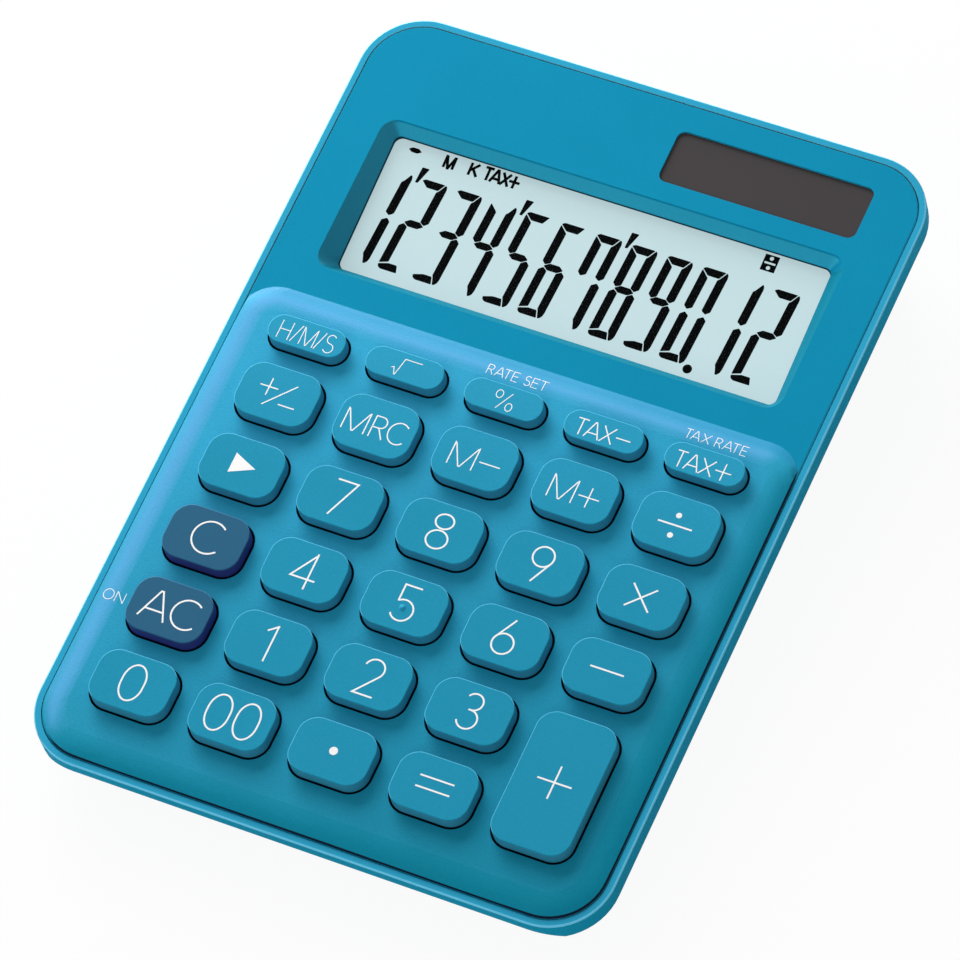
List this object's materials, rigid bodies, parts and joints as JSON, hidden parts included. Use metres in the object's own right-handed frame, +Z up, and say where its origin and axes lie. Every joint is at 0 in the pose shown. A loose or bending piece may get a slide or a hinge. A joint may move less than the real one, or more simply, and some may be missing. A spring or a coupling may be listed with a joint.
{
  "type": "desk calculator",
  "caption": "Wedge-shaped desk calculator with a sunken digit display, a solar window and sprung keys on a raised keypad; stands on rubber feet.",
  "frame": {"origin": "middle of the footprint, on the surface the feet stand on", "axes": "+X to the right of the user, +Y from the user towards the display, +Z up"},
  "size_m": [0.1046, 0.1494, 0.022],
  "materials": {
    "case_blue": "fine satin moulded plastic",
    "key_blue": "satin moulded plastic",
    "key_navy": "satin moulded plastic",
    "clear_window": "clear polished acrylic",
    "display_grey": "matt polarising film",
    "display_glass": "clear glass",
    "silver_film": "matt reflector film",
    "white_plastic": "moulded plastic",
    "zinc_steel": "zinc plated",
    "ribbon_amber": "printed film",
    "smoked_window": "smoked clear plastic",
    "solar_film": "amorphous silicon on glass",
    "red_insulation": "insulation",
    "black_insulation": "insulation",
    "grey_silicone": "silicone rubber",
    "board_green": "solder resist",
    "black_epoxy": "cast epoxy",
    "capacitor_sleeve": "shrunk sleeve",
    "cell_steel": "stainless can",
    "spring_steel": "nickel plated",
    "foot_rubber": "moulded rubber"
  },
  "bodies": {
    "case": {"battery_contact_minus": "spring_steel", "battery_contact_plus": "spring_steel", "battery_cover": "case_blue", "battery_cover_screw": "zinc_steel", "battery_lead_black": "black_insulation", "battery_lead_red": "red_insulation", "board_components": "black_epoxy", "board_screws": "zinc_steel", "button_cell": "cell_steel", "case_screws": "zinc_steel", "chip_cover": "black_epoxy", "circuit_board": "board_green", "display_front_glass": "display_glass", "display_holder": "white_plastic", "display_polariser": "display_grey", "display_rear_glass": "display_glass", "display_reflector": "silver_film", "display_ribbon": "ribbon_amber", "display_screws": "zinc_steel", "display_window": "clear_window", "dome_sheet": "grey_silicone", "lower_case": "case_blue", "rubber_feet": "foot_rubber", "solar_cell": "solar_film", "solar_lead_black": "black_insulation", "solar_lead_red": "red_insulation", "solar_window": "smoked_window", "supply_capacitor": "capacitor_sleeve", "upper_case": "case_blue"},
    "key_0_cap": {"key_0": "key_blue"},
    "key_1_cap": {"key_1": "key_blue"},
    "key_2_cap": {"key_2": "key_blue"},
    "key_3_cap": {"key_3": "key_blue"},
    "key_4_cap": {"key_4": "key_blue"},
    "key_5_cap": {"key_5": "key_blue"},
    "key_6_cap": {"key_6": "key_blue"},
    "key_7_cap": {"key_7": "key_blue"},
    "key_8_cap": {"key_8": "key_blue"},
    "key_9_cap": {"key_9": "key_blue"},
    "key_all_clear_cap": {"key_all_clear": "key_navy"},
    "key_change_sign_cap": {"key_change_sign": "key_blue"},
    "key_clear_cap": {"key_clear": "key_navy"},
    "key_decimal_point_cap": {"key_decimal_point": "key_blue"},
    "key_divide_cap": {"key_divide": "key_blue"},
    "key_double_zero_cap": {"key_double_zero": "key_blue"},
    "key_equals_cap": {"key_equals": "key_blue"},
    "key_hours_minutes_seconds_cap": {"key_hours_minutes_seconds": "key_blue"},
    "key_memory_minus_cap": {"key_memory_minus": "key_blue"},
    "key_memory_plus_cap": {"key_memory_plus": "key_blue"},
    "key_memory_recall_cap": {"key_memory_recall": "key_blue"},
    "key_minus_cap": {"key_minus": "key_blue"},
    "key_multiply_cap": {"key_multiply": "key_blue"},
    "key_percent_cap": {"key_percent": "key_blue"},
    "key_plus_cap": {"key_plus": "key_blue"},
    "key_shift_right_cap": {"key_shift_right": "key_blue"},
    "key_square_root_cap": {"key_square_root": "key_blue"},
    "key_tax_minus_cap": {"key_tax_minus": "key_blue"},
    "key_tax_plus_cap": {"key_tax_plus": "key_blue"}
  },
  "joints": [
    {"name": "press_0", "type": "slide", "parent": "case", "child": "key_0_cap", "axis": [0, 0.0785, -0.9969], "range_m": [0, 0.0013], "stiffness_N_per_m": 350, "deforming": ["dome_sheet"]},
    {"name": "press_1", "type": "slide", "parent": "case", "child": "key_1_cap", "axis": [0, 0.0785, -0.9969], "range_m": [0, 0.0013], "stiffness_N_per_m": 350, "deforming": ["dome_sheet"]},
    {"name": "press_2", "type": "slide", "parent": "case", "child": "key_2_cap", "axis": [0, 0.0785, -0.9969], "range_m": [0, 0.0013], "stiffness_N_per_m": 350, "deforming": ["dome_sheet"]},
    {"name": "press_3", "type": "slide", "parent": "case", "child": "key_3_cap", "axis": [0, 0.0785, -0.9969], "range_m": [0, 0.0013], "stiffness_N_per_m": 350, "deforming": ["dome_sheet"]},
    {"name": "press_4", "type": "slide", "parent": "case", "child": "key_4_cap", "axis": [0, 0.0785, -0.9969], "range_m": [0, 0.0013], "stiffness_N_per_m": 350, "deforming": ["dome_sheet"]},
    {"name": "press_5", "type": "slide", "parent": "case", "child": "key_5_cap", "axis": [0, 0.0785, -0.9969], "range_m": [0, 0.0013], "stiffness_N_per_m": 350, "deforming": ["dome_sheet"]},
    {"name": "press_6", "type": "slide", "parent": "case", "child": "key_6_cap", "axis": [0, 0.0785, -0.9969], "range_m": [0, 0.0013], "stiffness_N_per_m": 350, "deforming": ["dome_sheet"]},
    {"name": "press_7", "type": "slide", "parent": "case", "child": "key_7_cap", "axis": [0, 0.0785, -0.9969], "range_m": [0, 0.0013], "stiffness_N_per_m": 350, "deforming": ["dome_sheet"]},
    {"name": "press_8", "type": "slide", "parent": "case", "child": "key_8_cap", "axis": [0, 0.0785, -0.9969], "range_m": [0, 0.0013], "stiffness_N_per_m": 350, "deforming": ["dome_sheet"]},
    {"name": "press_9", "type": "slide", "parent": "case", "child": "key_9_cap", "axis": [0, 0.0785, -0.9969], "range_m": [0, 0.0013], "stiffness_N_per_m": 350, "deforming": ["dome_sheet"]},
    {"name": "press_all_clear", "type": "slide", "parent": "case", "child": "key_all_clear_cap", "axis": [0, 0.0785, -0.9969], "range_m": [0, 0.0013], "stiffness_N_per_m": 350, "deforming": ["dome_sheet"]},
    {"name": "press_change_sign", "type": "slide", "parent": "case", "child": "key_change_sign_cap", "axis": [0, 0.0785, -0.9969], "range_m": [0, 0.0013], "stiffness_N_per_m": 350, "deforming": ["dome_sheet"]},
    {"name": "press_clear", "type": "slide", "parent": "case", "child": "key_clear_cap", "axis": [0, 0.0785, -0.9969], "range_m": [0, 0.0013], "stiffness_N_per_m": 350, "deforming": ["dome_sheet"]},
    {"name": "press_decimal_point", "type": "slide", "parent": "case", "child": "key_decimal_point_cap", "axis": [0, 0.0785, -0.9969], "range_m": [0, 0.0013], "stiffness_N_per_m": 350, "deforming": ["dome_sheet"]},
    {"name": "press_divide", "type": "slide", "parent": "case", "child": "key_divide_cap", "axis": [0, 0.0785, -0.9969], "range_m": [0, 0.0013], "stiffness_N_per_m": 350, "deforming": ["dome_sheet"]},
    {"name": "press_double_zero", "type": "slide", "parent": "case", "child": "key_double_zero_cap", "axis": [0, 0.0785, -0.9969], "range_m": [0, 0.0013], "stiffness_N_per_m": 350, "deforming": ["dome_sheet"]},
    {"name": "press_equals", "type": "slide", "parent": "case", "child": "key_equals_cap", "axis": [0, 0.0785, -0.9969], "range_m": [0, 0.0013], "stiffness_N_per_m": 350, "deforming": ["dome_sheet"]},
    {"name": "press_hours_minutes_seconds", "type": "slide", "parent": "case", "child": "key_hours_minutes_seconds_cap", "axis": [0, 0.0785, -0.9969], "range_m": [0, 0.0013], "stiffness_N_per_m": 350, "deforming": ["dome_sheet"]},
    {"name": "press_memory_minus", "type": "slide", "parent": "case", "child": "key_memory_minus_cap", "axis": [0, 0.0785, -0.9969], "range_m": [0, 0.0013], "stiffness_N_per_m": 350, "deforming": ["dome_sheet"]},
    {"name": "press_memory_plus", "type": "slide", "parent": "case", "child": "key_memory_plus_cap", "axis": [0, 0.0785, -0.9969], "range_m": [0, 0.0013], "stiffness_N_per_m": 350, "deforming": ["dome_sheet"]},
    {"name": "press_memory_recall", "type": "slide", "parent": "case", "child": "key_memory_recall_cap", "axis": [0, 0.0785, -0.9969], "range_m": [0, 0.0013], "stiffness_N_per_m": 350, "deforming": ["dome_sheet"]},
    {"name": "press_minus", "type": "slide", "parent": "case", "child": "key_minus_cap", "axis": [0, 0.0785, -0.9969], "range_m": [0, 0.0013], "stiffness_N_per_m": 350, "deforming": ["dome_sheet"]},
    {"name": "press_multiply", "type": "slide", "parent": "case", "child": "key_multiply_cap", "axis": [0, 0.0785, -0.9969], "range_m": [0, 0.0013], "stiffness_N_per_m": 350, "deforming": ["dome_sheet"]},
    {"name": "press_percent", "type": "slide", "parent": "case", "child": "key_percent_cap", "axis": [0, 0.0785, -0.9969], "range_m": [0, 0.0013], "stiffness_N_per_m": 350, "deforming": ["dome_sheet"]},
    {"name": "press_plus", "type": "slide", "parent": "case", "child": "key_plus_cap", "axis": [0, 0.0785, -0.9969], "range_m": [0, 0.0013], "stiffness_N_per_m": 350, "deforming": ["dome_sheet"]},
    {"name": "press_shift_right", "type": "slide", "parent": "case", "child": "key_shift_right_cap", "axis": [0, 0.0785, -0.9969], "range_m": [0, 0.0013], "stiffness_N_per_m": 350, "deforming": ["dome_sheet"]},
    {"name": "press_square_root", "type": "slide", "parent": "case", "child": "key_square_root_cap", "axis": [0, 0.0785, -0.9969], "range_m": [0, 0.0013], "stiffness_N_per_m": 350, "deforming": ["dome_sheet"]},
    {"name": "press_tax_minus", "type": "slide", "parent": "case", "child": "key_tax_minus_cap", "axis": [0, 0.0785, -0.9969], "range_m": [0, 0.0013], "stiffness_N_per_m": 350, "deforming": ["dome_sheet"]},
    {"name": "press_tax_plus", "type": "slide", "parent": "case", "child": "key_tax_plus_cap", "axis": [0, 0.0785, -0.9969], "range_m": [0, 0.0013], "stiffness_N_per_m": 350, "deforming": ["dome_sheet"]}
  ]
}
